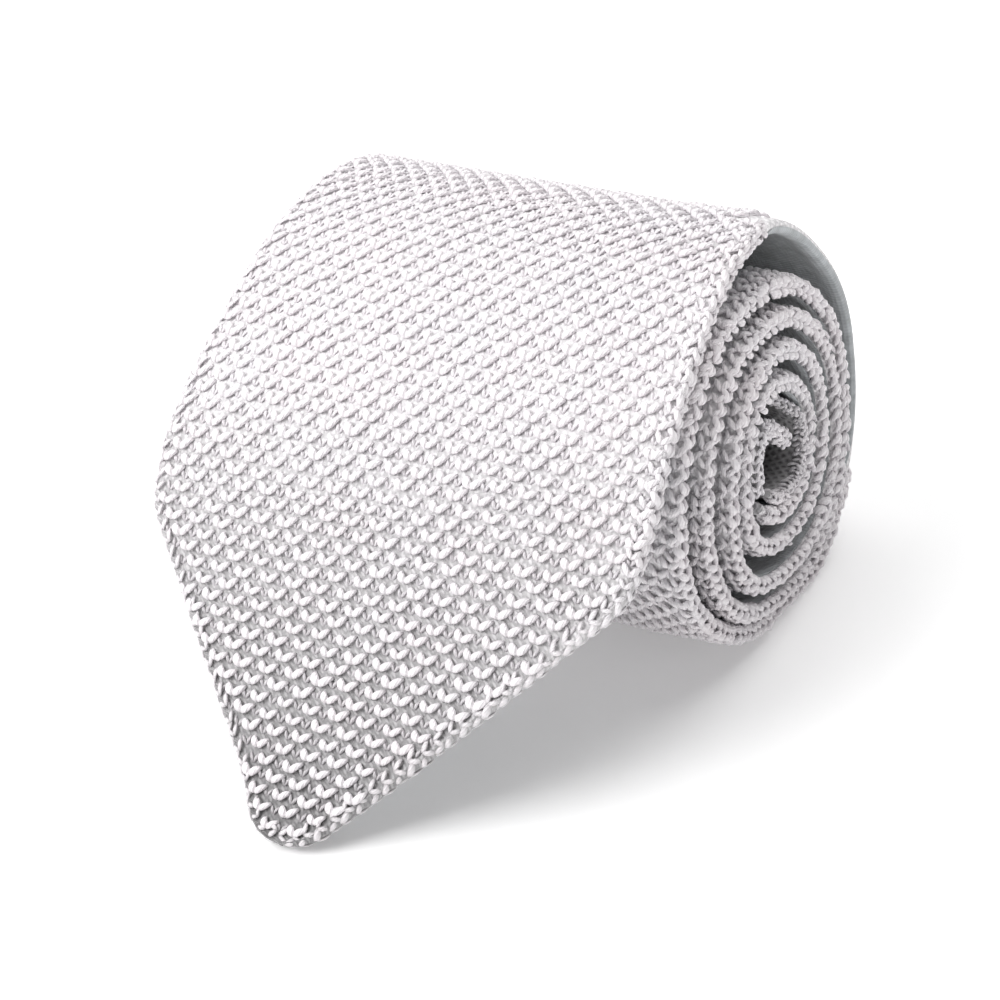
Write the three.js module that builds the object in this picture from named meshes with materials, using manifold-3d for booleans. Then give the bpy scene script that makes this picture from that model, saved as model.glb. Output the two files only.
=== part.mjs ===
// Knit tie, doubled at the neck and rolled up from the fold, resting on a table.
// The roll lies along X and its open spiral end faces +X. The pointed end of the wide half
// leaves the roll at the front top and slopes down towards -Y until its tip meets the table.
// Millimetres, Z up, origin under the middle of the whole tie at table height.
import * as THREE from 'three';
import { mergeVertices } from 'three/addons/utils/BufferGeometryUtils.js';
import Module from 'manifold-3d';

// The knitted band
const bladeWidth = 80;
const neckWidth = 42;
const rimThickness = 3;
const knitThickness = 1;
const hemWidth = 3;
const pointLength = 47;
const tipRadius = 9;

// The facing on the back of the wide half, and the narrow half that is rolled in with it
const liningThickness = 1;
const narrowWidth = 36;
const narrowThickness = 1.5;
const foldThickness = 3;

// The roll and the loose end
const rollRadius = 33;
const flapReach = 75;
const tipSlope = THREE.MathUtils.degToRad(38);
const restPress = 0.8;
const hiddenEndSetBack = 10.7;
const shoulderLean = 1.2;
const tipLean = -1.2;

// Clearances
const layerGap = 0.3;
const foldGap = 0.4;

// How the shapes are divided
const turnStep = 1 / 30;
const flapSteps = 11;
const roundSteps = 4;
const shoulderSteps = 3;
const foldSteps = 14;

// Radius of the knit face round the core, as shares of rollRadius, at eight directions of each
// turn from the outside in. outset is how far the turn stands out at the open end, as a share
// of bladeWidth.
const turns = [
  { front: 1.25, frontTop: 0.995, top: 1.008, backTop: 0.98, back: 1.13, backLow: 1.16, low: 1.0, frontLow: 0.94,
    outset: 0 },
  { front: 0.94, frontTop: 0.88, top: 0.765, backTop: 0.765, back: 0.9, backLow: 0.995, low: 0.835, frontLow: 0.785,
    outset: 0.01 },
  { front: 0.755, frontTop: 0.715, top: 0.625, backTop: 0.62, back: 0.715, backLow: 0.81, low: 0.685, frontLow: 0.645,
    outset: 0.024 },
  { front: 0.565, frontTop: 0.54, top: 0.488, backTop: 0.478, back: 0.535, backLow: 0.595, low: 0.51, frontLow: 0.475,
    outset: 0.038 },
  { front: 0.405, frontTop: 0.39, top: 0.35, backTop: 0.335, back: 0.395, backLow: 0.44, low: 0.375, frontLow: 0.335,
    outset: 0.034 },
];
const directions = ['front', 'frontTop', 'top', 'backTop', 'back', 'backLow', 'low', 'frontLow'];

// Middle of the folded neck where it curls across the core: shares of rollRadius from the core.
const foldPath = [
  { along: -0.21, up: -0.15 },
  { along: -0.205, up: 0.0 },
  { along: -0.17, up: 0.095 },
  { along: -0.095, up: 0.128 },
  { along: 0.005, up: 0.07 },
  { along: 0.15, up: -0.045 },
];

// Where along the roll, counted in turns from the front, the parts begin and change
const liftOff = 1 / 12;
const rollEnd = turns.length - 1 / directions.length;
const taperStart = 1;
const narrowStart = 0.3;
const neckLayerStart = turns.length - 1;
const neckWideStart = neckLayerStart + 0.25;
const neckWideEnd = neckLayerStart + 0.5;
const setBackDelay = 0.07 * bladeWidth;
const setBackLength = 0.5 * bladeWidth;

const smooth = (from, to, value) => THREE.MathUtils.smoothstep(value, from, to);
const mix = THREE.MathUtils.lerp;

// A table column read at any turn position, with a smooth curve through its rows
function tableRadius(position) {
  const places = turns.length * directions.length;
  const value = (index) => {
    const held = THREE.MathUtils.clamp(index, 0, places - 1);
    const row = turns[Math.floor(held / directions.length)];
    return rollRadius * row[directions[held % directions.length]];
  };
  const scaled = position * directions.length;
  const index = Math.floor(scaled);
  const t = scaled - index;
  const [a, b, c, d] = [value(index - 1), value(index), value(index + 1), value(index + 2)];
  return b + 0.5 * t * (c - a + t * (2 * a - 5 * b + 4 * c - d + t * (3 * (b - c) + d - a)));
}

function outset(position) {
  const index = THREE.MathUtils.clamp(Math.floor(position), 0, turns.length - 1);
  const next = Math.min(index + 1, turns.length - 1);
  return bladeWidth * mix(turns[index].outset, turns[next].outset, Math.min(position - index, 1));
}

// A point of the knit face round the core, in the plane across the roll
function rollPoint(position) {
  const angle = Math.PI * (1 - 2 * position);
  const radius = tableRadius(position);
  return new THREE.Vector2(radius * Math.cos(angle), radius * Math.sin(angle));
}

function lowestRollPoint() {
  let lowest = 0;
  for (let position = 0.5; position < 1; position += turnStep / 8) {
    lowest = Math.min(lowest, rollPoint(position).y);
  }
  return lowest;
}

// The core of the roll: flapReach behind the tip, and as high as its pressed underside allows
const core = new THREE.Vector2(flapReach, -lowestRollPoint() - restPress);

// Half width of the blade at a length from its rounded tip
const pointAngle = Math.atan2(0.5 * bladeWidth, pointLength);
const tipInset = tipRadius / Math.sin(pointAngle) - tipRadius;
const tipArcLength = tipRadius * (1 - Math.sin(pointAngle));
const shoulderAt = pointLength - tipInset;

function pointHalfWidth(length) {
  if (length < tipArcLength) {
    return Math.sqrt(length * (2 * tipRadius - length));
  }
  return Math.min((length + tipInset) * Math.tan(pointAngle), 0.5 * bladeWidth);
}

// The knit face from the tip to the fold, as points with their outward direction
function bandCurve() {
  const start = rollPoint(liftOff).add(core);
  const ahead = rollPoint(liftOff + 0.001).add(core);
  const rollHeading = ahead.sub(start).normalize();
  const tip = new THREE.Vector2(0, rimThickness * Math.cos(tipSlope));
  const tipHeading = new THREE.Vector2(Math.cos(tipSlope), Math.sin(tipSlope));
  const handle = 0.4 * start.distanceTo(tip);
  const flap = new THREE.CubicBezierCurve(
    tip,
    tip.clone().addScaledVector(tipHeading, handle),
    start.clone().addScaledVector(rollHeading, -handle),
    start,
  );
  const flapLength = flap.getLength();
  const stations = [];
  const add = (point, heading, length, position) => {
    stations.push({ point, out: new THREE.Vector2(-heading.y, heading.x), length, position });
  };
  const addFlap = (length) => {
    const share = length / flapLength;
    add(flap.getPointAt(share), flap.getTangentAt(share), length, liftOff);
  };
  for (let step = 0; step < roundSteps; step += 1) {
    addFlap(tipArcLength * ((step + 0.15) / roundSteps) ** 2);
  }
  for (let step = 0; step < flapSteps; step += 1) {
    addFlap(mix(tipArcLength, shoulderAt, step / flapSteps));
  }
  for (let step = 0; step < shoulderSteps; step += 1) {
    addFlap(mix(shoulderAt, flapLength, step / shoulderSteps));
  }
  let length = flapLength;
  let before = start;
  const count = Math.round((rollEnd - liftOff) / turnStep);
  for (let step = 0; step <= count; step += 1) {
    const position = mix(liftOff, rollEnd, step / count);
    const point = rollPoint(position).add(core);
    point.y = Math.max(point.y, 0);
    const heading = rollPoint(position + 0.002).sub(rollPoint(position - 0.002)).normalize();
    length += point.distanceTo(before);
    add(point, heading, length, position);
    before = point;
  }
  return stations;
}

// Gives each station the blade's edges and how far the hidden end is set back there
function dressStations(stations) {
  const taperLength = rollEnd - taperStart;
  for (const station of stations) {
    const taper = THREE.MathUtils.clamp((station.position - taperStart) / taperLength, 0, 1);
    const fullWidth = mix(bladeWidth, neckWidth, taper);
    const openEdge = 0.5 * bladeWidth + outset(station.position);
    station.half = Math.min(pointHalfWidth(station.length), 0.5 * fullWidth);
    const behind = smooth(0, setBackLength, station.length - shoulderAt - setBackDelay);
    const lean = mix(tipLean, shoulderLean, Math.min(station.length / shoulderAt, 1)) * (1 - behind);
    station.middle = openEdge - 0.5 * fullWidth + lean;
    station.setBack = (hiddenEndSetBack * behind) / bladeWidth;
  }
  return stations;
}

// Place of a section point: x across the band, depth inwards from the knit face
function place(station, x, depth) {
  const along = station.point.x - depth * station.out.x;
  const up = station.point.y - depth * station.out.y;
  return [x, along + station.setBack * (0.5 * bladeWidth - x), Math.max(up, 0)];
}

// A closed solid through one ring of points per station
function loft(rings) {
  const sides = rings[0].length;
  const index = [];
  for (let ring = 0; ring + 1 < rings.length; ring += 1) {
    for (let side = 0; side < sides; side += 1) {
      const next = (side + 1) % sides;
      const [a, b] = [ring * sides + side, ring * sides + next];
      index.push(a, b + sides, b, a, a + sides, b + sides);
    }
  }
  const last = (rings.length - 1) * sides;
  for (let side = 1; side + 1 < sides; side += 1) {
    index.push(0, side, side + 1);
    index.push(last, last + side + 1, last + side);
  }
  const geometry = new THREE.BufferGeometry();
  geometry.setAttribute('position', new THREE.Float32BufferAttribute(rings.flat(2), 3));
  geometry.setIndex(index);
  return mergeVertices(geometry, 1e-5);
}

// A flat band section with half-round edges, from depth top to depth top + thickness
const edgeShape = [
  { inset: 1, depth: 0 },
  { inset: 0.3, depth: 0.15 },
  { inset: 0, depth: 0.5 },
  { inset: 0.3, depth: 0.85 },
  { inset: 1, depth: 1 },
];

function roundEdgedRing(station, middle, half, top, thickness) {
  const round = Math.min(0.5 * thickness, 0.6 * half);
  const openSide = edgeShape.map((row) => place(
    station, middle + half - row.inset * round, top + row.depth * thickness));
  const hiddenSide = edgeShape.map((row) => place(
    station, middle - half + row.inset * round, top + row.depth * thickness));
  return [...openSide.reverse(), ...hiddenSide];
}

function flatRing(station, half, top, thickness) {
  const { middle } = station;
  return [
    place(station, middle + half, top + thickness),
    place(station, middle + half, top),
    place(station, middle - half, top),
    place(station, middle - half, top + thickness),
  ];
}

const wasm = await Module();
wasm.setup();

function toSolid(geometry) {
  const vertProperties = Float32Array.from(geometry.attributes.position.array);
  const triVerts = Uint32Array.from(geometry.index.array);
  return new wasm.Manifold(new wasm.Mesh({ numProp: 3, vertProperties, triVerts }));
}

function toGeometry(solid) {
  const mesh = solid.getMesh();
  const geometry = new THREE.BufferGeometry();
  geometry.setAttribute('position', new THREE.BufferAttribute(mesh.vertProperties, 3));
  geometry.setIndex(new THREE.BufferAttribute(mesh.triVerts, 1));
  return geometry;
}

const band = dressStations(bandCurve());
const pocketRoom = (station) => station.half - hemWidth;
const pocketBand = band.filter((station) => (
  pocketRoom(station) > 0.05 * bladeWidth && station.position < rollEnd - turnStep));

// Knit of the wide half: full thickness along its hems, with a shallow bed for the facing
function wideHalf() {
  const rings = band.map((station) => (
    roundEdgedRing(station, station.middle, station.half, 0, rimThickness)));
  const bedDepth = rimThickness - knitThickness + 0.5 * layerGap;
  const bedRings = pocketBand.map((station) => (
    flatRing(station, pocketRoom(station), knitThickness, bedDepth)));
  return toGeometry(toSolid(loft(rings)).subtract(toSolid(loft(bedRings))));
}

// Smooth facing that lies in the bed, clear of the hems all round
function facing() {
  const inside = pocketBand.slice(1, -1);
  const rings = inside.map((station) => (
    flatRing(station, pocketRoom(station) - layerGap, knitThickness + layerGap, liningThickness)));
  return loft(rings);
}

// The narrow half lies on the facing, between the hems, and fills the neck's width at the core
function narrowHalf() {
  const bedTop = knitThickness + liningThickness + 2 * layerGap;
  const rimTop = rimThickness + layerGap;
  const lying = band.filter((station) => (
    station.position > narrowStart && station.length > shoulderAt));
  const rings = lying.map((station) => {
    const top = mix(bedTop, rimTop, smooth(neckLayerStart, neckWideStart, station.position));
    const between = Math.min(0.5 * narrowWidth, pocketRoom(station) - layerGap);
    const half = mix(between, station.half, smooth(neckWideStart, neckWideEnd, station.position));
    return roundEdgedRing(station, station.middle, half, top, narrowThickness);
  });
  return loft(rings);
}

// The fold at the neck, a plump tongue that curls across the hole in the core
function neckFold() {
  const path = new THREE.CatmullRomCurve3(foldPath.map((row) => (
    new THREE.Vector3(0, row.along * rollRadius, row.up * rollRadius))));
  const end = band[band.length - 1];
  const half = 0.5 * neckWidth - foldGap;
  const rings = [];
  for (let step = 0; step <= foldSteps; step += 1) {
    const share = step / foldSteps;
    const middle = path.getPointAt(share);
    const heading = path.getTangentAt(share);
    const fromEnd = 1 - Math.min(1, (1 - share) * 5);
    const thickness = foldThickness * Math.sqrt(1 - 0.8 * fromEnd * fromEnd);
    const out = new THREE.Vector2(-heading.z, heading.y);
    const point = new THREE.Vector2(middle.y, middle.z).add(core);
    point.addScaledVector(out, 0.5 * thickness);
    const station = { point, out, setBack: end.setBack };
    rings.push(roundEdgedRing(station, end.middle, half, 0, thickness));
  }
  return loft(rings);
}

function piece(name, geometry, color, roughness) {
  const material = new THREE.MeshStandardMaterial({ color, roughness, metalness: 0 });
  const mesh = new THREE.Mesh(geometry, material);
  mesh.name = name;
  return mesh;
}

const tie = new THREE.Group();
tie.add(piece('knit_wide_half', wideHalf(), '#f2efee', 0.55));
tie.add(piece('facing_wide_half', facing(), '#cfd3d6', 0.7));
tie.add(piece('knit_narrow_half', narrowHalf(), '#f2efee', 0.55));
tie.add(piece('neck_fold', neckFold(), '#f2efee', 0.55));

// The origin goes under the middle of the tie
const box = new THREE.Box3().setFromObject(tie);
tie.position.set(-0.5 * (box.min.x + box.max.x), -0.5 * (box.min.y + box.max.y), 0);

export default tie;
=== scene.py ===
import math

import bpy
import numpy as np
from mathutils import Matrix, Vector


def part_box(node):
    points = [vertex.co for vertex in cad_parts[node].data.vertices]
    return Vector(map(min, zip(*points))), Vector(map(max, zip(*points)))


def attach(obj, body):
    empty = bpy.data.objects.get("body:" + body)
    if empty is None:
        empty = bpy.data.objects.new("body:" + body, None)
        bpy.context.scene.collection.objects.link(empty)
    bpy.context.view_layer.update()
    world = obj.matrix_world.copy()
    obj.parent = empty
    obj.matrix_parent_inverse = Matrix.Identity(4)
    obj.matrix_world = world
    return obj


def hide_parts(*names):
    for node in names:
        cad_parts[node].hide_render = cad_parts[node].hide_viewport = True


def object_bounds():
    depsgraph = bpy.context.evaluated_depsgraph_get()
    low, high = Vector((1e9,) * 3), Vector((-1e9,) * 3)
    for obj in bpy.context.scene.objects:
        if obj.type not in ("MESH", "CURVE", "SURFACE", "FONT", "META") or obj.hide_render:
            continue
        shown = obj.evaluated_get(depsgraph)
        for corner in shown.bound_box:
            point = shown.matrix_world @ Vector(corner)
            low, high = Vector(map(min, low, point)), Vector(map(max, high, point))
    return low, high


bl_info = {
    "name": "Rolled knit tie",
    "version": (1, 0, 0),
    "blender": (4, 5, 0),
    "location": "3D View > Sidebar > Knit tie",
    "description": "Dresses the solids of a rolled knit tie with cloth, facing and knitted stitches",
    "category": "Object",
}

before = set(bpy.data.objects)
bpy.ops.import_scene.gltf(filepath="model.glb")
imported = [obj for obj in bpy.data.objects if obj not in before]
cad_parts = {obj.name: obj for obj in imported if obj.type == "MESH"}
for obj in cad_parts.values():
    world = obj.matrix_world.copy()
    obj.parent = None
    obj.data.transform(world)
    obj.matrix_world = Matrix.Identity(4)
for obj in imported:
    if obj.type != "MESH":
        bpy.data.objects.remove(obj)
cad_box = [list(corner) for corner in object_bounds()]
BOX_LOW = cad_box[0]
BOX_HIGH = cad_box[1]

MM = 0.001

# The roll, turn by turn from the outside in: radius of the knit face round the core in eight
# directions, as shares of ROLL_RADIUS, and how far the turn stands out at the open end, as a
# share of the blade's width
TURNS = {
    "front": (1.25, 0.94, 0.755, 0.565, 0.405),
    "front_top": (0.995, 0.88, 0.715, 0.54, 0.39),
    "top": (1.008, 0.765, 0.625, 0.488, 0.35),
    "back_top": (0.98, 0.765, 0.62, 0.478, 0.335),
    "back": (1.13, 0.9, 0.715, 0.535, 0.395),
    "back_low": (1.16, 0.995, 0.81, 0.595, 0.44),
    "low": (1.0, 0.835, 0.685, 0.51, 0.375),
    "front_low": (0.94, 0.785, 0.645, 0.475, 0.335),
    "outset": (0.0, 0.01, 0.024, 0.038, 0.034),
}
DIRECTIONS = [name for name in TURNS if name != "outset"]
TURN_COUNT = len(TURNS["outset"])
# The middle of the folded neck across the core, as shares of ROLL_RADIUS from the core
FOLD_PATH = {
    "along": (-0.21, -0.205, -0.17, -0.095, 0.005, 0.15),
    "up": (-0.15, 0.0, 0.095, 0.128, 0.07, -0.045),
}

# The band, as in the solids
BLADE_WIDTH = 80 * MM
NECK_WIDTH = 42 * MM
RIM_THICKNESS = 3 * MM
KNIT_THICKNESS = 1 * MM
HEM_WIDTH = 3 * MM
POINT_LENGTH = 47 * MM
TIP_RADIUS = 9 * MM
FACING_THICKNESS = 1 * MM
NARROW_WIDTH = 36 * MM
NARROW_THICKNESS = 1.5 * MM
FOLD_THICKNESS = 3 * MM
ROLL_RADIUS = 33 * MM
FLAP_REACH = 75 * MM
TIP_SLOPE = math.radians(38)
REST_PRESS = 0.8 * MM
HIDDEN_END_SET_BACK = 10.7 * MM
SHOULDER_LEAN = 1.2 * MM
TIP_LEAN = -1.2 * MM
LAYER_GAP = 0.3 * MM
FOLD_GAP = 0.4 * MM
LIFT_OFF = 1 / 12
ROLL_END = TURN_COUNT - 1 / len(DIRECTIONS)
TAPER_START = 1.0
NARROW_START = 0.3
NECK_LAYER_START = TURN_COUNT - 1
NECK_WIDE_START = NECK_LAYER_START + 0.25
NECK_WIDE_END = NECK_LAYER_START + 0.5
SET_BACK_DELAY = 0.07 * BLADE_WIDTH
SET_BACK_LENGTH = 0.5 * BLADE_WIDTH

# How far the cloth under the stitches lies below the knit face: of the wide half and the neck,
# of the wide half's rim where its edge is calm, and of the narrow half
CLOTH_SINK = 0.6 * MM
CALM_SINK = 0.15 * MM
NARROW_CLOTH_SINK = 0.3 * MM
# How far the facing's hem lies in from the edge, and its thickness over the rim
FACING_INSET = 0.4 * HEM_WIDTH
FACING_HEM = 0.35 * MM
# How finely the roll's curve is sampled, in points for each turn
SAMPLES = 720
FLAP_SAMPLES = 500

# How far the outer turn's open edge flares out of the roll, or in where negative, at turn
# positions from the front round over the top, the back and the underside
FLARE_REACH = 20 * MM
FLARES = {
    "position": (0.12, 0.3, 0.42, 0.5, 0.58, 0.65, 0.74, 0.84, 0.96),
    "out_mm": (0.0, 0.5, 0.2, -0.2, 1.2, 0.0, -2.0, -1.6, 0.0),
}
# How far the soft hidden edge strays outwards, at lengths along the wide half from its tip
STRAYS = {
    "length_mm": (0, 8, 25, 45, 55, 72, 80, 90, 100, 110, 122),
    "out_mm": (0.0, -0.9, 0.2, 0.0, 1.0, 1.4, 1.3, -0.6, -2.4, -1.9, 0.0),
}


class KnitTieSizes(bpy.types.PropertyGroup):
    """Sizes of the yarn and the knit."""

    stitch_pitch: bpy.props.FloatProperty(
        name="Stitch pitch", description="Distance between raised stitches across the blade",
        default=4.2 * MM, min=MM, unit="LENGTH")
    row_pitch: bpy.props.FloatProperty(
        name="Row pitch", description="Distance between rows of stitches along the tie",
        default=2.05 * MM, min=MM, unit="LENGTH")
    edge_pitch: bpy.props.FloatProperty(
        name="Edge pitch", description="Distance between stitches along the bound edges",
        default=2.25 * MM, min=MM, unit="LENGTH")
    lens: bpy.props.FloatProperty(
        name="Lens", description="Focal length of the camera", default=69.87, unit="CAMERA")


class KnitTieColours(bpy.types.PropertyGroup):
    """Colours of the yarn, the grey of its painted shade, the facing and the floor."""

    yarn: bpy.props.FloatVectorProperty(
        name="Yarn", description="White yarn of the raised stitches",
        default=(0.88, 0.858, 0.864), size=3, min=0, max=1, subtype="COLOR")
    # Painted shade: a grey for the white yarn where shade falls, at the stitches' roots and in the
    # hollows and holes of the knit
    painted_shade_yarn: bpy.props.FloatVectorProperty(
        name="Yarn root", description="Yarn where it dips between the stitches",
        default=(0.62, 0.605, 0.615), size=3, min=0, max=1, subtype="COLOR")
    facing: bpy.props.FloatVectorProperty(
        name="Facing", description="Smooth cloth on the back of the wide half",
        default=(0.43, 0.452, 0.466), size=3, min=0, max=1, subtype="COLOR")
    floor: bpy.props.FloatVectorProperty(
        name="Floor", description="Pale floor",
        default=(0.93, 0.93, 0.93), size=3, min=0, max=1, subtype="COLOR")


def smoothstep(low, high, value):
    share = np.clip((value - low) / (high - low), 0, 1)
    return share * share * (3 - 2 * share)


def along_knots(a, b, c, d, t):
    """A smooth curve from b to c through a row of knots, with a before them and d after."""
    return b + 0.5 * t * (c - a + t * (2 * a - 5 * b + 4 * c - d + t * (3 * (b - c) + d - a)))


def table_radius(position):
    """Radius of the knit face at any turn position, with a smooth curve through the table."""
    column = ROLL_RADIUS * np.array([
        TURNS[name][turn] for turn in range(TURN_COUNT) for name in DIRECTIONS])
    step = np.asarray(position, float) * len(DIRECTIONS)
    index = np.floor(step).astype(int)
    knots = (column[np.clip(index + near, 0, len(column) - 1)] for near in (-1, 0, 1, 2))
    return along_knots(*knots, step - index)


def roll_points(position):
    angle = math.pi * (1 - 2 * np.asarray(position, float))
    radius = table_radius(position)
    return np.stack([radius * np.cos(angle), radius * np.sin(angle)], axis=-1)


def outset(position):
    return np.interp(position, np.arange(TURN_COUNT), BLADE_WIDTH * np.array(TURNS["outset"]))


# The width over which the shoulder's corner softens
SHOULDER_SOFT = 3 * MM
POINT_ANGLE = math.atan2(0.5 * BLADE_WIDTH, POINT_LENGTH)
TIP_INSET = TIP_RADIUS / math.sin(POINT_ANGLE) - TIP_RADIUS
TIP_ARC_LENGTH = TIP_RADIUS * (1 - math.sin(POINT_ANGLE))
SHOULDER_AT = POINT_LENGTH - TIP_INSET


def point_half_width(length):
    length = np.maximum(length, 0)
    arc = np.sqrt(np.maximum(length * (2 * TIP_RADIUS - length), 0))
    slope = (length + TIP_INSET) * math.tan(POINT_ANGLE)
    near = np.maximum(SHOULDER_SOFT - np.abs(slope - 0.5 * BLADE_WIDTH), 0)
    slope = np.minimum(slope, 0.5 * BLADE_WIDTH) - near ** 2 / (4 * SHOULDER_SOFT)
    return np.where(length < TIP_ARC_LENGTH, arc, slope)


class Strip:
    """A band along a curve in the plane across the roll. A place on it is its length along
    the curve, x across it and its depth below the outer face."""

    def __init__(self, points, headings, positions, half, middle, set_back, top, thickness):
        step = np.linalg.norm(np.diff(points, axis=0), axis=1)
        self.length = np.concatenate([[0], np.cumsum(step)])
        self.points = points
        self.out = np.stack([-headings[:, 1], headings[:, 0]], axis=1)
        self.position = positions
        self.half = half
        self.middle = middle
        self.set_back = set_back
        self.top = top
        self.radius = 0.5 * thickness
        self.flare = np.zeros(len(points))
        self.stray = np.zeros(len(points))

    def read(self, column, length):
        return np.interp(length, self.length, column)

    def place(self, length, x, depth):
        """Row-frame points of places on the strip."""
        over = np.where(length < 0, length, 0) + np.maximum(length - self.length[-1], 0)
        out_y = self.read(self.out[:, 0], length)
        out_z = self.read(self.out[:, 1], length)
        size = np.hypot(out_y, out_z)
        out_y, out_z = out_y / size, out_z / size
        edge = self.read(self.middle, length) + self.read(self.half, length)
        depth = depth - self.read(self.flare, length) * smoothstep(edge - FLARE_REACH, edge, x)
        along = self.read(self.points[:, 0], length) - depth * out_y + over * out_z
        up = self.read(self.points[:, 1], length) - depth * out_z - over * out_y
        along = along + self.read(self.set_back, length) * (0.5 * BLADE_WIDTH - x)
        x = x - self.read(self.stray, length) * smoothstep(
            0, np.maximum(self.read(self.half, length), MM), self.read(self.middle, length) - x)
        return np.stack([x + ORIGIN[0], along + ORIGIN[1], np.maximum(up, 0.03 * MM)], axis=-1)

    def edge(self, side):
        """The strip's edge on one side, from its start on: length, x and the outward normal
        within the face, against the distance along the edge."""
        fine = np.concatenate([
            self.length[1] * np.linspace(0, 1, 12, endpoint=False) ** 2, self.length[1:]])
        x = self.read(self.middle, fine) + side * self.read(self.half, fine)
        step = np.hypot(np.diff(fine), np.diff(x))
        distance = np.concatenate([[0], np.cumsum(step)])
        even = np.arange(0, distance[-1], 0.25 * MM)
        fine, x = np.interp(even, distance, fine), np.interp(even, distance, x)
        heading = np.stack([np.gradient(fine), np.gradient(x)])
        heading /= np.linalg.norm(heading, axis=0)
        return {"distance": even, "length": fine, "x": x,
                "normal_length": -side * heading[1], "normal_x": side * heading[0]}

    def wrap(self, edge, distance, around, height):
        """Row-frame points wrapped round an edge: around is the way from the outer face over
        the rim to the back."""
        radius = self.radius
        angle = np.clip(around / radius, 0, math.pi)
        past = np.where(around < 0, -around, 0) + np.maximum(around - math.pi * radius, 0)
        reach = (radius + height) * np.sin(angle) - radius - past
        depth = self.read(self.top, np.interp(distance, edge["distance"], edge["length"]))
        depth = depth + radius - (radius + height) * np.cos(angle)
        length = np.interp(distance, edge["distance"], edge["length"])
        x = np.interp(distance, edge["distance"], edge["x"])
        length = length + reach * np.interp(distance, edge["distance"], edge["normal_length"])
        x = x + reach * np.interp(distance, edge["distance"], edge["normal_x"])
        return self.place(length, x, depth)


def bezier(a, b, c, d, t):
    t = t[:, None]
    return (1 - t) ** 3 * a + 3 * (1 - t) ** 2 * t * b + 3 * (1 - t) * t * t * c + t ** 3 * d


def evenly(points, count):
    step = np.linalg.norm(np.diff(points, axis=0), axis=1)
    along = np.concatenate([[0], np.cumsum(step)])
    even = np.linspace(0, along[-1], count)
    return np.stack([np.interp(even, along, points[:, k]) for k in range(2)], axis=1)


def headings_of(points):
    heading = np.gradient(points, axis=0)
    return heading / np.linalg.norm(heading, axis=1)[:, None]


def wide_strip():
    """The wide half, from the tip to the fold."""
    lowest = roll_points(np.arange(0.5, 1, 1 / 240))[:, 1].min()
    core = np.array([FLAP_REACH, -min(lowest, 0) - REST_PRESS])
    start = roll_points(LIFT_OFF) + core
    heading = roll_points(LIFT_OFF + 0.001) + core - start
    heading /= np.linalg.norm(heading)
    tip = np.array([0, RIM_THICKNESS * math.cos(TIP_SLOPE)])
    tip_heading = np.array([math.cos(TIP_SLOPE), math.sin(TIP_SLOPE)])
    handle = 0.4 * np.linalg.norm(start - tip)
    flap = bezier(tip, tip + handle * tip_heading, start - handle * heading, start,
                  np.linspace(0, 1, 4000))
    flap = evenly(flap, FLAP_SAMPLES)
    count = int((ROLL_END - LIFT_OFF) * SAMPLES)
    position = np.linspace(LIFT_OFF, ROLL_END, count + 1)[1:]
    roll = roll_points(position) + core
    headings = np.concatenate([headings_of(flap), headings_of(
        roll_points(np.append(position, position[-1] + 1 / SAMPLES)))[:-1]])
    roll[:, 1] = np.maximum(roll[:, 1], 0)
    points = np.concatenate([flap, roll])
    position = np.concatenate([np.full(FLAP_SAMPLES, LIFT_OFF), position])
    length = np.concatenate([[0], np.cumsum(np.linalg.norm(np.diff(points, axis=0), axis=1))])
    taper = np.clip((position - TAPER_START) / (ROLL_END - TAPER_START), 0, 1)
    full_width = BLADE_WIDTH + (NECK_WIDTH - BLADE_WIDTH) * taper
    half = np.minimum(point_half_width(length), 0.5 * full_width)
    behind = smoothstep(0, SET_BACK_LENGTH, length - SHOULDER_AT - SET_BACK_DELAY)
    lean = TIP_LEAN + (SHOULDER_LEAN - TIP_LEAN) * np.minimum(length / SHOULDER_AT, 1)
    middle = 0.5 * BLADE_WIDTH + outset(position) - 0.5 * full_width + lean * (1 - behind)
    set_back = HIDDEN_END_SET_BACK * behind / BLADE_WIDTH
    top = np.zeros(len(points))
    strip = Strip(points, headings, position, half, middle, set_back, top, RIM_THICKNESS)
    strip.core = core
    strip.stray = np.interp(
        length, MM * np.array(STRAYS["length_mm"]), MM * np.array(STRAYS["out_mm"]))
    strip.flare = np.interp(position, FLARES["position"], MM * np.array(FLARES["out_mm"]))
    return strip


def pocket_room(strip, length):
    return strip.read(strip.half, length) - HEM_WIDTH


def narrow_strip(wide):
    """The narrow half, on the wide half's facing."""
    keep = (wide.position > NARROW_START) & (wide.length > SHOULDER_AT)
    position = wide.position[keep]
    bed_top = KNIT_THICKNESS + FACING_THICKNESS + 2 * LAYER_GAP
    rim_top = RIM_THICKNESS + LAYER_GAP
    top = bed_top + (rim_top - bed_top) * smoothstep(NECK_LAYER_START, NECK_WIDE_START, position)
    between = np.minimum(0.5 * NARROW_WIDTH, wide.half[keep] - HEM_WIDTH - LAYER_GAP)
    half = between + (wide.half[keep] - between) * smoothstep(
        NECK_WIDE_START, NECK_WIDE_END, position)
    headings = np.stack([wide.out[keep][:, 1], -wide.out[keep][:, 0]], axis=1)
    return Strip(wide.points[keep], headings, position, half, wide.middle[keep],
                 wide.set_back[keep], top, NARROW_THICKNESS)


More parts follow.
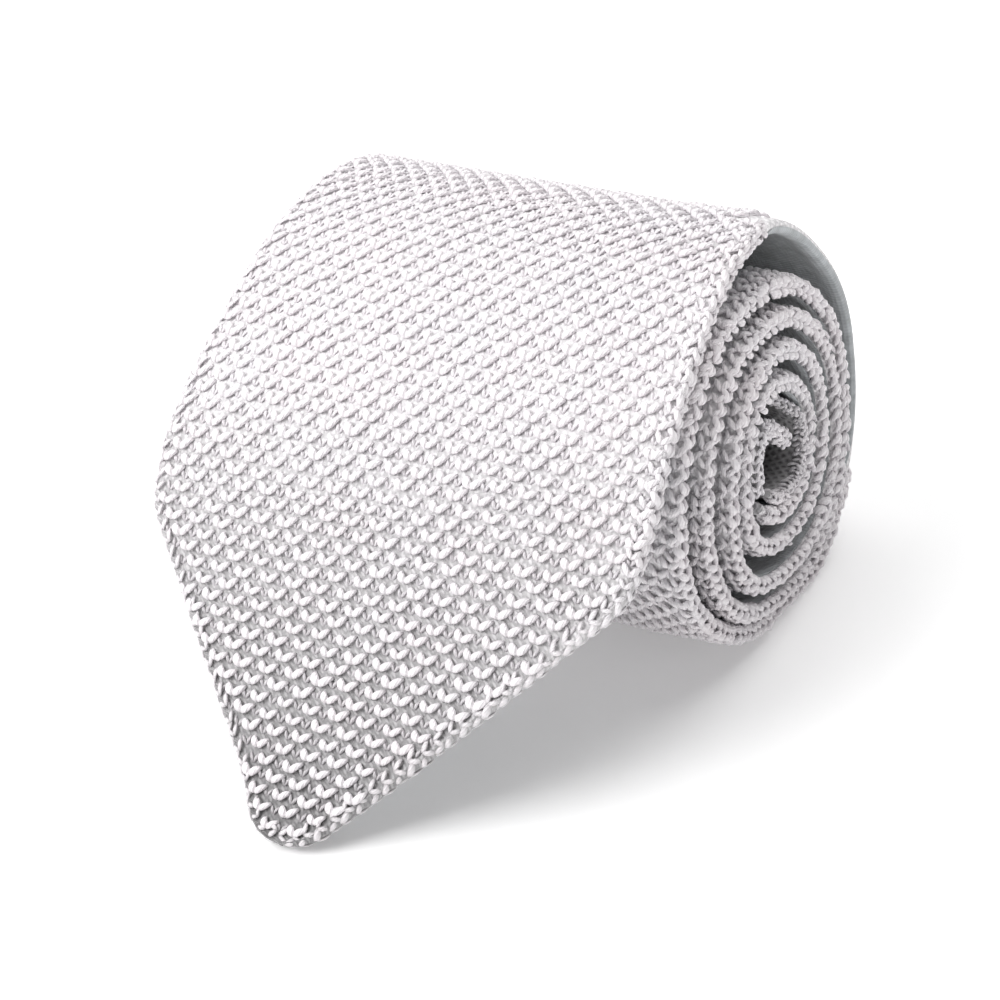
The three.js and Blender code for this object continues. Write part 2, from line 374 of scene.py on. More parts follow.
def fold_strip(wide):
    """The folded neck, across the core."""
    rows = ROLL_RADIUS * np.array([FOLD_PATH["along"], FOLD_PATH["up"]]).T
    padded = np.concatenate([[2 * rows[0] - rows[1]], rows, [2 * rows[-1] - rows[-2]]])
    share = np.linspace(0, 1, 60, endpoint=False)[:, None]
    pieces = [along_knots(*knots, share)
              for knots in zip(padded, padded[1:], padded[2:], padded[3:])]
    points = evenly(np.concatenate(pieces + [rows[-1:]]), 240)
    headings = headings_of(points)
    out = np.stack([-headings[:, 1], headings[:, 0]], axis=1)
    points = points + wide.core + 0.5 * FOLD_THICKNESS * out
    count = len(points)
    ones = np.ones(count)
    return Strip(points, headings, ones * wide.position[-1], ones * (0.5 * NECK_WIDTH - FOLD_GAP),
                 ones * wide.middle[-1], ones * wide.set_back[-1], 0 * ones, FOLD_THICKNESS)


ORIGIN = [0.0, 0.0]
WIDE = wide_strip()


def set_origin():
    """Puts the strip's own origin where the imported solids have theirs."""
    low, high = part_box("knit_wide_half")
    fine = np.repeat(WIDE.length, 2)
    side = np.tile([-1, 1], len(WIDE.length))
    x = WIDE.read(WIDE.middle, fine) + side * WIDE.read(WIDE.half, fine)
    spots = WIDE.place(fine, x, np.full(len(fine), WIDE.radius))
    ORIGIN[0] = high[0] - spots[:, 0].max()
    ORIGIN[1] = low[1] - WIDE.place(np.zeros(1), np.zeros(1), np.zeros(1))[0, 1]


set_origin()
NARROW = narrow_strip(WIDE)
FOLD = fold_strip(WIDE)


def finish_piece(piece, make, slot, *nodes):
    """Gives a piece its material, hides the solids that it takes the place of, and hangs it on the
    root body; the slot is not used.
    """
    piece.data.materials.clear()
    piece.data.materials.append(material_of(make))
    if nodes:
        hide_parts(*nodes)
    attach(piece, "root")


def deselect():
    if bpy.context.mode != "OBJECT":
        bpy.ops.object.mode_set(mode="OBJECT")
    bpy.ops.object.select_all(action="DESELECT")


def tube_faces(rings, sides):
    """Faces of a tube of rings, closed with one point at each end."""
    quads = []
    for ring in range(rings - 1):
        for side in range(sides):
            after = (side + 1) % sides
            a, b = ring * sides + side, ring * sides + after
            quads.append((a, b, b + sides, a + sides))
    first, last = rings * sides, rings * sides + 1
    caps = []
    for side in range(sides):
        after = (side + 1) % sides
        caps.append((first, after, side))
        caps.append((last, (rings - 1) * sides + side, (rings - 1) * sides + after))
    return np.array(quads), np.array(caps)


def leg(path, sides, flatness):
    """One leg of a stitch: a plump tapered tube through the path's rings, in millimetres."""
    middle = np.array([path["across"], path["along"], path["height"]]).T
    heading = np.gradient(middle, axis=0)
    heading /= np.linalg.norm(heading, axis=1)[:, None]
    sideways = np.cross([0, 0, 1], heading)
    sideways /= np.linalg.norm(sideways, axis=1)[:, None]
    upward = np.cross(heading, sideways)
    rings = range(1, len(middle) - 1)
    points, uv = [], []
    along = np.concatenate([[0], np.cumsum(np.linalg.norm(np.diff(middle, axis=0), axis=1))])
    for ring in rings:
        for side in range(sides):
            angle = 2 * math.pi * side / sides
            points.append(middle[ring] + path["radius"][ring] * (
                math.cos(angle) * sideways[ring] + flatness * math.sin(angle) * upward[ring]))
            uv.append((abs(side / sides - 0.5) * 2, along[ring]))
    points += [middle[0], middle[-1]]
    uv += [(0.5, along[0]), (0.5, along[-1])]
    quads, caps = tube_faces(len(rings), sides)
    return np.array(points), quads, caps, np.array(uv)


# The legs of a raised stitch: the left one is short, steep and plump
RIGHT_LEG = {
    "across": (-0.06, 0.12, 0.45, 0.9, 1.32, 1.66, 1.8),
    "along": (-0.62, -0.48, -0.2, 0.18, 0.54, 0.88, 1.02),
    "height": (-0.66, -0.3, -0.06, 0.0, -0.12, -0.42, -0.7),
    "radius": (0.0, 0.32, 0.53, 0.54, 0.44, 0.26, 0.0),
}
LEFT_LEG = {
    "across": (-0.06, 0.08, 0.34, 0.6, 0.86, 1.06, 1.12),
    "along": (-0.62, -0.48, -0.2, 0.16, 0.52, 0.8, 0.92),
    "height": (-0.66, -0.28, -0.02, 0.04, -0.08, -0.42, -0.7),
    "radius": (0.0, 0.36, 0.58, 0.62, 0.5, 0.28, 0.0),
}
# A leg of the plait along the edges
PLAIT_LEG = {
    "across": (-0.02, 0.08, 0.36, 0.74, 1.12, 1.42, 1.5),
    "along": (-1.2, -1.0, -0.58, -0.04, 0.46, 0.88, 1.06),
    "height": (-0.66, -0.4, -0.12, 0.0, -0.14, -0.46, -0.72),
    "radius": (0.0, 0.28, 0.46, 0.52, 0.44, 0.26, 0.0),
}
# A leg of the small stitch that lies sunk between the raised ones
SUNK_LEG = {
    "across": (0.0, 0.12, 0.4, 0.7, 0.84),
    "along": (-0.8, -0.52, 0.0, 0.5, 0.78),
    "height": (-0.9, -0.58, -0.42, -0.56, -0.9),
    "radius": (0.0, 0.25, 0.31, 0.25, 0.0),
}
# Between the plait along an edge and the smaller stitches on either side of it
BINDING_STEP = 1.9 * MM
# How far from an edge the face stitches end, also where the facing rolls over that edge, and
# how far in they go on the inner turns
FACE_MARGIN = 1.3 * MM
BARE_MARGIN = 4.5 * MM
INNER_TURN_REACH = 7 * MM


def stitch(right_path, left_path, sides, flatness, size):
    """A stitch of two legs, in metres, with each point's height, which sets the painted shade from
    dark roots to light tops.
    """
    points, quads, caps, uv = leg(right_path, sides, flatness)
    mirrored = leg(left_path, sides, flatness)[0] * [-1, 1, 1]
    count = len(points)
    both = np.concatenate([points, mirrored])
    return {
        "points": both * size * MM,
        "quads": np.concatenate([quads, quads[:, ::-1] + count]),
        "caps": np.concatenate([caps, caps[:, ::-1] + count]),
        "uv": np.concatenate([uv, uv + [3, 0]]),
        "painted_shade_height": both[:, 2],
    }


def lay_stitches(shape, count, put):
    """Copies of one stitch. put turns the copies' across, along and height, one row for each
    copy, into row-frame points."""
    points = shape["points"]
    placed = put(*(np.broadcast_to(column, (count, len(points))) for column in points.T))
    offsets = (np.arange(count) * len(points))[:, None, None]
    return {
        "points": placed.reshape(-1, 3),
        "quads": (shape["quads"][None] + offsets).reshape(-1, 4),
        "caps": (shape["caps"][None] + offsets).reshape(-1, 3),
        "uv": np.tile(shape["uv"], (count, 1)),
        "painted_shade_height": np.tile(shape["painted_shade_height"], count),
    }


def join_stitches(name, groups):
    """One smooth object of all the stitches in the groups, with a UV map along each leg and
    each point's height, which sets the painted shade at the stitches' roots."""
    starts = np.cumsum([0] + [len(group["points"]) for group in groups])
    points, uv, painted_shade_height = (
        np.concatenate([group[key] for group in groups]) for key in ("points", "uv", "painted_shade_height"))
    faces = [np.concatenate([group[key] + start for group, start in zip(groups, starts)])
             for key in ("quads", "caps")]
    counts = np.concatenate([np.full(len(group), group.shape[1]) for group in faces])
    corners = np.concatenate([group.ravel() for group in faces]).astype(np.int32)
    mesh = bpy.data.meshes.new(name)
    mesh.vertices.add(len(points))
    mesh.vertices.foreach_set("co", points.astype(np.float32).ravel())
    mesh.loops.add(len(corners))
    mesh.loops.foreach_set("vertex_index", corners)
    mesh.polygons.add(len(counts))
    firsts = np.concatenate([[0], np.cumsum(counts)[:-1]])
    mesh.polygons.foreach_set("loop_start", firsts.astype(np.int32))
    mesh.polygons.foreach_set("loop_total", counts.astype(np.int32))
    layer = mesh.uv_layers.new(name="Surface")
    layer.data.foreach_set("uv", uv.astype(np.float32)[corners].ravel())
    column = mesh.attributes.new("painted_shade_height", "FLOAT", "POINT")
    column.data.foreach_set("value", painted_shade_height.astype(np.float32))
    mesh.update(calc_edges=True)
    mesh.validate()
    mesh.polygons.foreach_set("use_smooth", np.ones(len(counts), bool))
    piece = bpy.data.objects.new(name, mesh)
    bpy.context.collection.objects.link(piece)
    return piece


def varied(count, seed, amount):
    """Small hand-made differences between stitches."""
    return np.random.default_rng(seed).normal(0, amount, count)[:, None]


def face_stitches(strip, places, shape, seed):
    """Stitches on a strip's face at rows of (length, x)."""
    places = np.asarray(places).reshape(-1, 2)
    count = len(places)
    wander_s, wander_x = varied(count, seed, 0.07 * MM), varied(count, seed + 1, 0.07 * MM)
    lift, swell = varied(count, seed + 2, 0.05 * MM), 1 + varied(count, seed + 3, 0.05)
    turn = varied(count, seed + 4, 0.07)

    def put(across, along, height):
        length = places[:, 0:1] + wander_s + (along + turn * across) * swell
        x = places[:, 1:2] + wander_x + (across - turn * along) * swell
        return strip.place(length, x, strip.read(strip.top, length) - (height * swell + lift))

    return lay_stitches(shape, count, put)


# How far the hidden edge is calm, as a share of the way from the tip to the shoulder
HIDDEN_CALM = 2.6


def calm(side, length):
    """1 where a wide-half edge is smooth and close-knit: all round the point, and up the
    hidden side of the flap."""
    reach = SHOULDER_AT * (1 if side > 0 else HIDDEN_CALM)
    return 1 - smoothstep(reach - 2 * MM, reach + 8 * MM, length)


def edge_stitches(strip, side, distances, around, shape, seed):
    """Stitches wrapped round a strip's edge, at distances along it."""
    edge = strip.edge(side)
    distances = np.asarray(distances)
    distances = distances[distances < edge["distance"][-1] - MM]
    count = len(distances)
    wander_s, wander_x = varied(count, seed, 0.16 * MM), varied(count, seed + 3, 0.14 * MM)
    lift, swell = varied(count, seed + 1, 0.1 * MM), 1 + varied(count, seed + 2, 0.1)
    turn = varied(count, seed + 4, 0.16)
    flat = np.zeros((count, 1))
    if strip is WIDE:
        flat = calm(side, np.interp(distances, edge["distance"], edge["length"]))[:, None]
    swell = swell * (1 - 0.12 * flat)

    def put(across, along, height):
        distance = distances[:, None] + wander_s + (along + turn * across) * swell
        way = around + wander_x + side * (across - turn * along) * swell
        rise = height * swell * (1 - 0.4 * flat) + lift * (1 - 0.6 * flat) - 0.04 * MM * flat
        return strip.wrap(edge, distance, way, rise)

    laid = lay_stitches(shape, count, put)
    # Painted shade: every edge stitch takes more of the grey root colour, and the calm edges more
    # again
    laid["painted_shade_height"] = laid["painted_shade_height"] - 0.12 - 0.2 * np.repeat(flat.ravel(), len(shape["points"]))
    return laid


def shade(colour, factor=1.0):
    return (*(min(factor * part, 1) for part in colour), 1)


class Finish:
    """A material while it is made, with its main shader and the bumps that it has so far."""

    def __init__(self, name):
        self.material = bpy.data.materials.new(name)
        self.material.use_nodes = True
        self.nodes = self.material.node_tree.nodes
        self.links = self.material.node_tree.links
        self.nodes.clear()
        self.shader = self.nodes.new("ShaderNodeBsdfPrincipled")
        self.normal = None
        output = self.nodes.new("ShaderNodeOutputMaterial")
        self.links.new(self.shader.outputs["BSDF"], output.inputs["Surface"])

    def feed(self, node, inputs):
        """Gives each input of a node a constant or another node's output."""
        for name, value in inputs.items():
            if isinstance(value, bpy.types.NodeSocket):
                self.links.new(value, node.inputs[name])
            else:
                node.inputs[name].default_value = value

    def add(self, kind, inputs, **settings):
        node = self.nodes.new("ShaderNode" + kind)
        for name, value in settings.items():
            setattr(node, name, value)
        self.feed(node, inputs)
        return node.outputs

    def place(self, axis):
        place = self.add("TexCoord", {})["Object"]
        return self.add("SeparateXYZ", {"Vector": place})[axis]

    def climb(self):
        """From 0 at the tip to 1 where the flap turns over the roll; it lightens the painted shade
        up the blade.
        """
        return self.ranged(self.place("Y"), BOX_LOW[1], BOX_LOW[1] + PAINTED_SHADE_REACH)

    def noise(self, scale, detail):
        place = self.add("TexCoord", {})["Object"]
        return self.add("TexNoise", {"Scale": scale, "Detail": detail, "Vector": place})["Fac"]

    def bands(self, scale, distortion, direction="X", lean=0):
        """Bands along the strip's own surface, leaning by an angle in degrees."""
        vector = self.add("UVMap", {}, uv_map="Surface")["UV"]
        if lean:
            turn = {"Vector": vector, "Rotation": (0, 0, math.radians(lean))}
            vector = self.add("Mapping", turn)["Vector"]
        inputs = {"Scale": scale, "Distortion": distortion, "Vector": vector}
        return self.add("TexWave", inputs, wave_type="BANDS", bands_direction=direction)["Fac"]

    def crossed(self, lean, scale):
        """Two sets of strands that lean either way across the strip, high where they cross."""
        strands = {0: self.bands(scale, 0.7, lean=lean), 1: self.bands(scale, 0.7, lean=-lean)}
        return self.add("Math", strands, operation="MULTIPLY")["Value"]

    def mix(self, share, first, second, **settings):
        inputs = {"Factor": share, "A": first, "B": second}
        return self.add("Mix", inputs, data_type="RGBA", **settings)["Result"]

    def ranged(self, value, low, high, to_low=0.0, to_high=1.0):
        return self.add("MapRange", {
            "Value": value, "From Min": low, "From Max": high,
            "To Min": to_low, "To Max": to_high})["Result"]

    def bump(self, height, strength, distance):
        """Lays a bump over the ones before it."""
        inputs = {"Height": height, "Strength": strength, "Distance": distance}
        if self.normal is not None:
            inputs["Normal"] = self.normal
        self.normal = self.add("Bump", inputs)["Normal"]
        self.feed(self.shader, {"Normal": self.normal})


def silky_yarn(colours):
    """White yarn with painted shade at its roots, darker towards the tip, and plies that run along
    each leg.
    """
    finish, root = Finish("silky_yarn"), colours.painted_shade_yarn
    painted_shade_height = finish.add("Attribute", {}, attribute_name="painted_shade_height")["Fac"]
    # Painted shade: low parts of each stitch take the grey root colour, darker near the tip and
    # lighter up the blade
    root_shade = finish.mix(finish.climb(), shade(root, 0.36), shade(root, 1.5))
    base = finish.mix(finish.ranged(painted_shade_height, -0.75, 0.05), root_shade, shade(colours.yarn))
    blush = finish.mix(finish.noise(90, 3), PINK_BLUSH, BLUE_BLUSH)
    finish.feed(finish.shader, {
        "Base Color": finish.mix(1, base, blush, blend_type="MULTIPLY"), "Roughness": 0.36,
        "Specular IOR Level": 0.5, "Sheen Weight": 0.25, "Sheen Roughness": 0.4})
    finish.bump(finish.bands(1.1, 0.6, lean=28), 0.5, 0.12 * MM)
    return finish.material


def under_knit(colours):
    """The knit between and behind the raised stitches: greyer with painted shade that is darker near
    the tip, with fine criss-cross strands.
    """
    finish, root = Finish("under_knit"), colours.painted_shade_yarn
    inputs = {0: finish.crossed(36, 300), 1: 0.8, 2: finish.noise(1500, 4)}
    strands = finish.add("Math", inputs, operation="MULTIPLY_ADD")["Value"]
    share = finish.ranged(strands, 0.4, 1.0)
    climb = finish.climb()
    # Painted shade in the hollows: darker near the tip, lighter up the blade
    dark = finish.mix(climb, shade(root, 0.27), shade(root, 1.1))
    light = finish.mix(climb, shade(root, 0.52), shade(root, 1.6))
    finish.feed(finish.shader, {
        "Base Color": finish.mix(share, dark, light), "Roughness": 0.7, "Sheen Weight": 0.2})
    finish.bump(share, 0.6, 0.3 * MM)
    return finish.material


def fine_knit(colours):
    """The finer knit of the narrow half and the neck, in the grey of the painted shade, with small
    holes painted darker and painted deep shadow further in from the open end of the roll.
    """
    finish, root = Finish("fine_knit"), colours.painted_shade_yarn
    holes = finish.crossed(38, 220)
    knit = finish.mix(holes, shade(root, 0.95), shade(root, 0.5))
    # Painted shadow: the knit turns near black more than 10 mm in from the open end
    deep = finish.ranged(finish.place("X"), BOX_HIGH[0] - 10 * MM, BOX_HIGH[0])
    finish.feed(finish.shader, {"Base Color": finish.mix(deep, DEEP_SHADOW, knit),
                                "Roughness": 0.65})
    finish.bump(holes, 0.8, -0.3 * MM)
    return finish.material


def smooth_facing(colours):
    """Smooth light grey woven facing: a fine weave along the strip's own surface."""
    finish = Finish("smooth_facing")
    fuzz = finish.ranged(finish.noise(400, 5), 0.3, 0.7)
    base = finish.mix(fuzz, shade(colours.facing, 0.78), shade(colours.facing, 1.16))
    finish.feed(finish.shader, {"Base Color": base, "Roughness": 0.62, "Sheen Weight": 0.3})
    for direction in ("X", "Y"):
        finish.bump(finish.bands(420, 0.8, direction), 0.4, 0.12 * MM)
    finish.bump(fuzz, 0.5, 0.25 * MM)
    return finish.material


def glowing_floor(colours):
    """A white floor that glows as painted light, more further from the tie, so that it ends as white
    as the world; the weaker glow near the tie leaves a soft shadow round it, and the glow lights the
    tie from below.
    """
    finish = Finish("glowing_floor")
    base = finish.mix(finish.noise(40, 2), shade(colours.floor, 0.995), shade(colours.floor))
    place = finish.add("TexCoord", {})["Object"]
    far = finish.add("VectorMath", {"Vector": place}, operation="LENGTH")["Value"]
    finish.feed(finish.shader, {
        "Base Color": base, "Roughness": 0.8, "Emission Color": WHITE,
        # Painted light: the floor glows, weakest near the tie
        "Emission Strength": finish.ranged(far, 0.06, 0.3, 0.2, 0.9)})
    return finish.material


# How far the painted shade in the knit's hollows goes on growing lighter up the blade
PAINTED_SHADE_REACH = 45 * MM
WHITE = (1, 1, 1, 1)
PINK_BLUSH = (1, 0.955, 0.972, 1)
BLUE_BLUSH = (0.972, 0.98, 1, 1)
DEEP_SHADOW = (0.05, 0.05, 0.055, 1)
MATERIALS = {}


def material_of(make):
    """Each finish is made once and shared by its pieces."""
    if make not in MATERIALS:
        MATERIALS[make] = make(bpy.context.scene.knittie_colours)
    return MATERIALS[make]


def band_mesh(name, strip, lengths, outline):
    """A closed band: one ring of points for each length. outline gives a ring's x and depth,
    from an array of lengths; its first axis runs round the ring."""
    x, depth = outline(lengths)
    count, rings = x.shape
    deselect()
    bpy.ops.mesh.primitive_grid_add(x_subdivisions=count, y_subdivisions=rings - 1, size=1)
    piece = bpy.context.object
    piece.name = name
    piece.data.name = name
    spots = strip.place(np.broadcast_to(lengths, x.shape), x, depth)
    spots = np.concatenate([spots, spots[:1]], axis=0)
    around = np.concatenate([np.zeros((1, rings)), np.cumsum(
        np.linalg.norm(np.diff(spots, axis=0), axis=2), axis=0)])
    placed = np.transpose(spots, (1, 0, 2)).reshape(-1, 3)
    piece.data.vertices.foreach_set("co", placed.astype(np.float32).ravel())
    layer = piece.data.uv_layers[0]
    layer.name = "Surface"
    corners = np.zeros(len(piece.data.loops), np.int32)
    piece.data.loops.foreach_get("vertex_index", corners)
    flat = np.stack([around.T.ravel(), np.repeat(lengths, count + 1)], axis=1)
    layer.data.foreach_set("uv", flat[corners].astype(np.float32).ravel())
    piece.data.update()
    bpy.ops.object.mode_set(mode="EDIT")
    bpy.ops.mesh.select_all(action="SELECT")
    bpy.ops.mesh.remove_doubles(threshold=0.002 * MM)
    bpy.ops.mesh.select_all(action="DESELECT")
    bpy.ops.mesh.select_non_manifold(extend=False)
    bpy.ops.mesh.fill_holes(sides=0)
    bpy.ops.mesh.select_all(action="SELECT")
    bpy.ops.mesh.normals_make_consistent(inside=False)
    bpy.ops.object.mode_set(mode="OBJECT")
    bpy.ops.object.shade_smooth_by_angle(angle=math.radians(60))
    return piece


def spread(low, high, count):
    """Rows of even shares between two columns."""
    share = np.linspace(0, 1, count)[:, None]
    return low[None] + share * (high - low)[None]


def half_round(strip, lengths, sink, steps=7):
    """The section of a rim, sunk evenly below the stitches: how far in from the edge, and the
    depth, for each step round it."""
    radius = np.minimum(strip.radius, 0.6 * strip.read(strip.half, lengths))
    inner = radius * (1 - sink / strip.radius)
    angle = np.linspace(0, math.pi, steps)[:, None]
    inset = radius[None] - inner[None] * np.sin(angle)
    depth = strip.radius - inner[None] * np.cos(angle)
    return inset, depth


def knit_outline(strip, bed, sink):
    """The knitted cloth under the stitches, with or without the bed for the facing."""
    def outline(lengths):
        half, middle = strip.read(strip.half, lengths), strip.read(strip.middle, lengths)
        top = strip.read(strip.top, lengths)
        sinks = [sink - (sink - CALM_SINK) * calm(side, lengths) * bed for side in (1, -1)]
        (open_inset, open_depth), (hidden_inset, hidden_depth) = (
            half_round(strip, lengths, rim_sink) for rim_sink in sinks)
        open_x, hidden_x = middle + half - open_inset, middle - half + hidden_inset
        columns = [(spread(hidden_x[0], open_x[0], 25), sink)]
        columns.append((open_x[1:], open_depth[1:]))
        room = np.maximum(half - HEM_WIDTH, 0) if bed else np.zeros(len(lengths))
        back = 2 * strip.radius - sink
        deep = np.where(room > 0.05 * BLADE_WIDTH, KNIT_THICKNESS + 0.1 * MM, back) if bed else back
        for side in (1, -1):
            low, high = (room + 0.2 * MM, room) if side > 0 else (room, room + 0.2 * MM)
            first, last = (back, deep) if side > 0 else (deep, back)
            columns.append(((middle + side * low)[None], first))
            columns.append(((middle + side * high)[None], last))
        columns.append((hidden_x[::-1][:-1], hidden_depth[::-1][:-1]))
        x = np.concatenate([column for column, _ in columns])
        depths = np.concatenate([
            np.broadcast_to(value, column.shape) for column, value in columns])
        return x, depths + top
    return outline


def rolled_over(position):
    """1 where the facing rolls out over the outer turn's open edge, from the top to the back."""
    return smoothstep(0.25, 0.28, position) * (1 - smoothstep(0.56, 0.62, position))


def facing_outline(strip):
    """The facing in its bed, softly puckered towards the hems, and over the rim where it rolls
    out."""
    def outline(lengths):
        half, middle = strip.read(strip.half, lengths), strip.read(strip.middle, lengths)
        over = rolled_over(strip.read(strip.position, lengths))
        round_off = strip.radius - CLOTH_SINK + 0.1 * MM
        inset = FACING_INSET + (strip.radius - round_off - FACING_INSET) * over
        share = 0.5 - 0.5 * np.cos(np.linspace(0, math.pi, 41))[:, None]
        open_x, hidden_x = middle + half - inset, middle - half + FACING_INSET
        x = open_x + share * (hidden_x - open_x)
        reach = np.abs(x - middle)
        beyond = np.maximum(reach - (half - strip.radius), 0)
        hem = strip.radius + np.sqrt(np.maximum(round_off ** 2 - beyond ** 2, 0))
        ruffle = (reach / half) ** 6 * (1 - over)
        pucker = 0.1 * MM * np.sin(lengths / (1.9 * MM) + 5 * reach / half) * ruffle
        bed = KNIT_THICKNESS + LAYER_GAP
        room = pocket_room(strip, lengths) - LAYER_GAP
        climb = smoothstep(room - 0.8 * MM, room + 0.8 * MM, reach)
        front = bed + (hem - bed) * climb
        thick = FACING_THICKNESS - 0.2 * MM + (FACING_HEM - FACING_THICKNESS) * climb
        return np.concatenate([x[::-1], x]), np.concatenate([front[::-1], front + thick + pucker])
    return outline


def facing_ends():
    roomy = WIDE.length[pocket_room(WIDE, WIDE.length) > 0.06 * BLADE_WIDTH]
    return roomy[0] + MM, roomy[-1] - 2 * MM


class KNITTIE_OT_wide_cloth(bpy.types.Operator):
    """Knitted cloth of the wide half, under its stitches"""
    bl_idname = "knittie.wide_cloth"
    bl_label = "Wide half cloth"

    def execute(self, context):
        arc = TIP_ARC_LENGTH * np.linspace(0.02, 1, 12, endpoint=False) ** 2
        lengths = np.concatenate([arc, np.arange(TIP_ARC_LENGTH, WIDE.length[-1], 1.6 * MM)])
        outline = knit_outline(WIDE, True, CLOTH_SINK)
        piece = band_mesh("wide_half_cloth", WIDE, lengths, outline)
        finish_piece(piece, under_knit, "white_knit", "knit_wide_half")
        return {"FINISHED"}


class KNITTIE_OT_facing(bpy.types.Operator):
    """Smooth facing on the back of the wide half"""
    bl_idname = "knittie.facing"
    bl_label = "Facing"

    def execute(self, context):
        lengths = np.arange(*facing_ends(), 2 * MM)
        piece = band_mesh("facing_cloth", WIDE, lengths, facing_outline(WIDE))
        finish_piece(piece, smooth_facing, "grey_facing", "facing_wide_half")
        return {"FINISHED"}


class KNITTIE_OT_narrow_cloth(bpy.types.Operator):
    """Knitted cloth of the narrow half, rolled in with the wide half"""
    bl_idname = "knittie.narrow_cloth"
    bl_label = "Narrow half cloth"

    def execute(self, context):
        lengths = np.arange(0, NARROW.length[-1], 1.6 * MM)
        outline = knit_outline(NARROW, False, NARROW_CLOTH_SINK)
        piece = band_mesh("narrow_half_cloth", NARROW, lengths, outline)
        finish_piece(piece, fine_knit, "white_knit", "knit_narrow_half")
        return {"FINISHED"}


class KNITTIE_OT_fold_cloth(bpy.types.Operator):
    """Folded neck, curled across the core"""
    bl_idname = "knittie.fold_cloth"
    bl_label = "Neck fold cloth"

    def execute(self, context):
        lengths = np.linspace(0, FOLD.length[-1], 30)
        outline = knit_outline(FOLD, False, CLOTH_SINK)
        piece = band_mesh("neck_fold_cloth", FOLD, lengths, outline)
        finish_piece(piece, fine_knit, "white_knit", "neck_fold")
        return {"FINISHED"}


def lattice(strip, first, last, sizes, raised, keep):
    """Places of the raised or sunk stitches of a brick pattern, where keep allows them."""
    rows = np.arange(int(first / sizes.row_pitch) + 1, int(last / sizes.row_pitch) + 1)
    reach = int(0.5 * BLADE_WIDTH / sizes.stitch_pitch) + 2
    places = []
    for row in rows:
        shift = 0.5 * (row % 2) + (0 if raised else 0.5)
        length = row * sizes.row_pitch
        stretch = 1 + 0.09 * max(0, 1 - length / (1.5 * SHOULDER_AT))
        x = (np.arange(-reach, reach + 1) + shift) * sizes.stitch_pitch * stretch
        middle = strip.read(strip.middle, length)
        places += [(length, middle + offset) for offset in x if keep(length, offset)]
    return places


def room_to_edge(strip, length, offset):
    """How far a place is from the nearest edge, square to it."""
    half = strip.read(strip.half, length)
    slope = (strip.read(strip.half, length + MM) - half) / MM
    return (half - abs(offset)) / math.hypot(1, slope)


class KNITTIE_OT_face_stitches(bpy.types.Operator):
    """Raised and sunk stitches over the point, the outer turn and the turns' front edges"""
    bl_idname = "knittie.face_stitches"
    bl_label = "Face stitches"

    def execute(self, context):
        sizes = context.scene.knittie_sizes
        raised = stitch(RIGHT_LEG, LEFT_LEG, 7, 0.66, 1)
        sunk = stitch(SUNK_LEG, SUNK_LEG, 4, 0.8, 1)
        outer_end = float(np.interp(1.12, WIDE.position[FLAP_SAMPLES:], WIDE.length[FLAP_SAMPLES:]))
        cuts = np.linspace(0, outer_end, 4)
        names = ("stitches_point", "stitches_top_back", "stitches_underside")

        def on_face(length, offset):
            bare = offset > 0 and rolled_over(WIDE.read(WIDE.position, length)) > 0.5
            return room_to_edge(WIDE, length, offset) > (BARE_MARGIN if bare else FACE_MARGIN)

        def near_edge(length, offset):
            return FACE_MARGIN < room_to_edge(WIDE, length, offset) < INNER_TURN_REACH

        for index, name in enumerate(names):
            groups = [
                face_stitches(WIDE, lattice(WIDE, cuts[index], cuts[index + 1], sizes, up, on_face),
                              raised if up else sunk, 10 * index + (5 if up else 0))
                for up in (True, False)]
            finish_piece(join_stitches(name, groups), silky_yarn, "white_knit")
        groups = [
            face_stitches(WIDE, lattice(WIDE, outer_end, WIDE.length[-1], sizes, up, near_edge),
                          raised if up else sunk, 50 + (5 if up else 0))
            for up in (True, False)]
        finish_piece(join_stitches("stitches_inner_turns", groups), silky_yarn, "white_knit")
        return {"FINISHED"}


class KNITTIE_OT_edge_stitches(bpy.types.Operator):
    """Plaited stitches round the bound edges"""
    bl_idname = "knittie.edge_stitches"
    bl_label = "Edge stitches"

    def execute(self, context):
        sizes = context.scene.knittie_sizes
        plait = stitch(PLAIT_LEG, PLAIT_LEG, 7, 0.8, 1.1)
        binding = stitch(PLAIT_LEG, PLAIT_LEG, 6, 0.75, 0.82)
        pitch = sizes.edge_pitch
        rim = 0.5 * math.pi * WIDE.radius
        for side, name in ((1, "edge_stitches_open_end"), (-1, "edge_stitches_hidden_end")):
            groups = []
            for column in (-1, 0, 1):
                start = pitch * (0.5 if column else 1.0)
                distances = np.arange(start, WIDE.length[-1] + POINT_LENGTH, pitch)
                if side > 0:
                    edge = WIDE.edge(side)
                    position = WIDE.read(WIDE.position, np.interp(
                        distances, edge["distance"], edge["length"]))
                    inside = (column > 0) & (position > 1)
                    distances = distances[(rolled_over(position) < 0.5) & ~inside]
                groups.append(edge_stitches(
                    WIDE, side, distances, rim + column * BINDING_STEP,
                    binding if column else plait, 100 + 10 * column + side))
            finish_piece(join_stitches(name, groups), silky_yarn, "white_knit")
        return {"FINISHED"}


